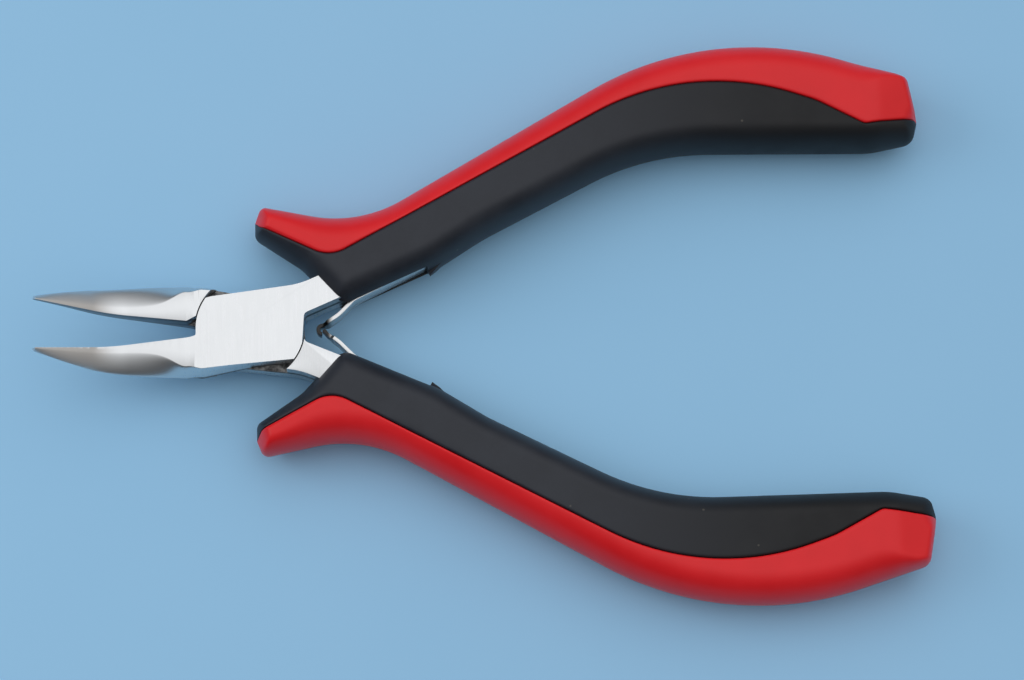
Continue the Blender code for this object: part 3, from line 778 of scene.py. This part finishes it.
def steel_material():
    """Ground flats with fine lines across the plate, smoother jaws, rougher lap faces painted dark as the
    shade in the gap between the halves, and darker gripping faces.
    """
    g = Graph("satin_steel")
    x = g.axis(g.place, 0)
    y = g.axis(g.place, 1)
    z = g.axis(g.place, 2)
    normal = g.add("ShaderNodeNewGeometry").outputs["Normal"]
    facing = g.math("ABSOLUTE", g.axis(normal, 2))
    lines = g.noise(1, 3, 0.6, g.stretched((6500, 170, 900)))
    jaw = g.remap(x, JOINT_X - 0.0075, JOINT_X - 0.017, smooth=True)
    plate = g.math("SUBTRACT", 1.0, jaw)
    flat = g.math("MULTIPLY", g.remap(facing, 0.96, 0.995), plate)
    lap = g.remap(g.math("ABSOLUTE", g.math("SUBTRACT", z, float(JOINT[2]))), 0.0009, 0.0003)
    lap = g.math("MULTIPLY", lap, plate)
    past_shoulder = g.remap(x, JOINT_X - 0.0078, JOINT_X - 0.0082)
    inward = g.math("MULTIPLY", g.math("MULTIPLY", g.math("SIGN", y), g.axis(normal, 1)), -1.0)
    grip = g.math("MULTIPLY", g.remap(inward, 0.8, 0.9), past_shoulder)
    mottle = g.noise(1500, 6, 0.7)
    bright = g.mix(g.noise(400, 3, 0.6), (0.66, 0.665, 0.675), (0.70, 0.705, 0.715))
    # Painted shade: the lap faces get a dark mottled colour for the shade in the gap between the two halves.
    # They are also rougher, with a mottled relief.
    lap_gap_shade_colour = g.mix(g.remap(mottle, 0.4, 0.62), (0.06, 0.06, 0.062), (0.28, 0.275, 0.27))
    colour = g.mix(lap, bright, lap_gap_shade_colour)
    # The gripping faces, which face the other jaw, are given a darker colour.
    colour = g.mix(grip, colour, (0.17, 0.175, 0.185))
    brushing = g.math("MULTIPLY", g.remap(lines, 0.3, 0.7, -0.03, 0.03), plate)
    roughness = g.math("ADD", g.math("ADD", brushing, g.remap(jaw, 0, 1, 0.29, 0.33)),
                       g.math("MULTIPLY", lap, 0.25))
    brushed = g.bump(g.math("MULTIPLY", lines, flat), 0.08, 0.00003)
    relief = g.bump(g.math("MULTIPLY", mottle, lap), 0.5, 0.0001, brushed)
    return g.finish(base_color=colour, metallic=1.0, roughness=roughness, normal=relief)


def spring_material():
    g = Graph("spring_steel")
    x = g.axis(g.place, 0)
    lines = g.noise(1, 2, 0.5, g.stretched((500, 500, 6000)))
    colour = g.mix(g.noise(700, 3), (0.56, 0.555, 0.55), (0.70, 0.70, 0.70))
    # Painted shade: the leaf ends at the hook are coloured near black for the shade where they lie low and
    # hook into each other.
    hook_shade = g.remap(x, JOINT_X + 0.0122, JOINT_X + 0.0112, smooth=True)
    colour = g.mix(hook_shade, colour, (0.035, 0.034, 0.033))
    roughness = g.remap(lines, 0.3, 0.7, 0.22, 0.34)
    return g.finish(base_color=colour, metallic=1.0, roughness=roughness,
                    normal=g.bump(lines, 0.12, 0.00003))


def red_material():
    g = Graph("red_plastic")
    patches = g.noise(90, 3, 0.6)
    grain = g.noise(2600, 2)
    colour = g.mix(g.remap(patches, 0.35, 0.65), (0.78, 0.011, 0.016), (0.84, 0.015, 0.021))
    roughness = g.math("ADD", g.remap(patches, 0.3, 0.7, 0.34, 0.42), g.remap(grain, 0.3, 0.7, -0.02, 0.02))
    return g.finish(base_color=colour, roughness=roughness, ior=1.38,
                    normal=g.bump(grain, 0.10, 0.00003))


def black_material():
    g = Graph("black_rubber")
    patches = g.noise(160, 4, 0.65)
    grain = g.noise(3200, 3)
    cells = g.add("ShaderNodeTexVoronoi", {"Vector": g.place, "Scale": 520.0, "Randomness": 1.0})
    chance = g.remap(g.axis(cells.outputs["Color"], 0), 0.93, 0.94)
    speck = g.math("MULTIPLY", g.remap(cells.outputs["Distance"], 0.11, 0.06), chance)
    x = g.axis(g.place, 0)
    # Painted sheen: the front of the pad gets a lighter bluish colour for the sky's sheen on it, and the rear
    # a darker one. The rear is also rougher.
    rear = g.remap(x, JOINT_X + 0.038, JOINT_X + 0.085, smooth=True)
    front = g.mix(g.remap(patches, 0.35, 0.7), (0.015, 0.018, 0.027), (0.026, 0.030, 0.041))
    base = g.mix(rear, front, (0.0045, 0.0045, 0.006))
    colour = g.mix(g.math("MULTIPLY", speck, 0.4), base, (0.16, 0.145, 0.12))
    roughness = g.math("ADD", g.remap(patches, 0.3, 0.7, 0.46, 0.56), g.math("MULTIPLY", rear, 0.1))
    return g.finish(base_color=colour, roughness=roughness, ior=1.44,
                    normal=g.bump(grain, 0.15, 0.00004))


# ---- stage ----

FLOOR_HALF_SIZE = 1.5
FLOOR_DROP = 0.00002
SKY_BASE = 0.1
SKY_GLOW = 1.28
SKY_FALL = 1.5
SKY_LENGTHENING = 0.9
SKY_SHIFT = 0.09
SKY_LEAN = (0.961, 0.276)
SKY_COOL = (0.965, 0.985, 1.0)
SKY_WARM = (1.0, 0.93, 0.85)
WARM_RANGE = (0.3, 0.8)
KEY_PLACE = (-0.6, 0.12, 0.42)
KEY_SIZE = 0.45
KEY_POWER = 1.1
CAMERA_PLACE = (JOINT_X + 0.025, -0.0812, 0.4401)
CAMERA_ANGLES = (10.386, -1.493, -1.404)
CAMERA_LENS = 105.469


def floor():
    mesh = bpy.data.meshes.new("floor")
    half = FLOOR_HALF_SIZE
    corners = [(-half, -half, 0), (half, -half, 0), (half, half, 0), (-half, half, 0)]
    mesh.from_pydata(corners, [], [(0, 1, 2, 3)])
    obj = bpy.data.objects.new("floor", mesh)
    obj.location.z = -FLOOR_DROP
    bpy.context.scene.collection.objects.link(obj)
    g = Graph("floor_paper")
    tone = g.noise(25, 2)
    colour = g.mix(tone, (0.33, 0.62, 0.90), (0.355, 0.645, 0.925))
    mesh.materials.append(g.finish(base_color=colour, roughness=0.9))


def sky():
    """Soft overhead light that leans to the far side, is wider along X, and is warm low down towards +X."""
    world = bpy.data.worlds.new("studio")
    bpy.context.scene.world = world
    world.use_nodes = True
    tree = world.node_tree

    def put(kind, inputs, **settings):
        node = tree.nodes.new(kind)
        for key, value in settings.items():
            setattr(node, key, value)
        for key, value in inputs.items():
            if isinstance(value, bpy.types.NodeSocket):
                tree.links.new(value, node.inputs[key])
            else:
                node.inputs[key].default_value = value
        return node.outputs[0]

    def maths(operation, a, b=0.0):
        return put("ShaderNodeMath", {0: a, 1: b}, operation=operation)

    axes = tree.nodes.new("ShaderNodeSeparateXYZ")
    tree.links.new(tree.nodes.new("ShaderNodeTexCoord").outputs["Generated"], axes.inputs[0])
    x, y, z = axes.outputs
    along = maths("SUBTRACT", maths("MULTIPLY", x, SKY_LENGTHENING), SKY_SHIFT)
    across = maths("SUBTRACT", maths("MULTIPLY", y, SKY_LEAN[0]), maths("MULTIPLY", z, SKY_LEAN[1]))
    spread = maths("ADD", maths("MULTIPLY", along, along), maths("MULTIPLY", across, across))
    glow = maths("POWER", maths("MAXIMUM", maths("SUBTRACT", 1.0, spread), 0.0), SKY_FALL)
    strength = maths("ADD", maths("MULTIPLY", glow, SKY_GLOW), SKY_BASE)
    warmth = put("ShaderNodeMapRange", {"Value": along, "From Min": WARM_RANGE[0], "From Max": WARM_RANGE[1]})
    tint = tree.nodes.new("ShaderNodeMix")
    tint.data_type = "RGBA"
    tree.links.new(warmth, tint.inputs[0])
    tint.inputs[6].default_value = (*SKY_COOL, 1)
    tint.inputs[7].default_value = (*SKY_WARM, 1)
    tree.links.new(tint.outputs[2], tree.nodes["Background"].inputs["Color"])
    tree.links.new(strength, tree.nodes["Background"].inputs["Strength"])


def softbox(name, location, aim, size, power):
    light = bpy.data.lights.new(name, "AREA")
    light.shape = "SQUARE"
    light.size = size
    light.energy = power
    obj = bpy.data.objects.new(name, light)
    bpy.context.scene.collection.objects.link(obj)
    obj.location = location
    back = (obj.location - Vector(aim)).normalized()
    obj.rotation_euler = back.to_track_quat("Z", "Y").to_euler()


def camera():
    data = bpy.data.cameras.new("camera")
    data.sensor_width = 36
    data.lens = CAMERA_LENS
    data.clip_start = 0.01
    obj = bpy.data.objects.new("camera", data)
    bpy.context.scene.collection.objects.link(obj)
    obj.location = CAMERA_PLACE
    obj.rotation_euler = [math.radians(a) for a in CAMERA_ANGLES]
    bpy.context.scene.camera = obj


def main():
    steel = steel_material()
    spring = spring_material()
    red = red_material()
    black = black_material()
    for side, back in (("front", False), ("back", True)):
        steel_half(side, back, steel)
        leaf_spring(side, back, spring)
        grip(side, back, red, black)
        rivet = frame["nodes"][side + "_leaf_rivet"]
        rivet.data.materials.clear()
        rivet.data.materials.append(spring)
    pivot_rivet(steel)
    floor()
    sky()
    softbox("key_light", KEY_PLACE, (0, 0, 0), KEY_SIZE, KEY_POWER)
    camera()
    bpy.context.scene.view_settings.view_transform = "Standard"


main()
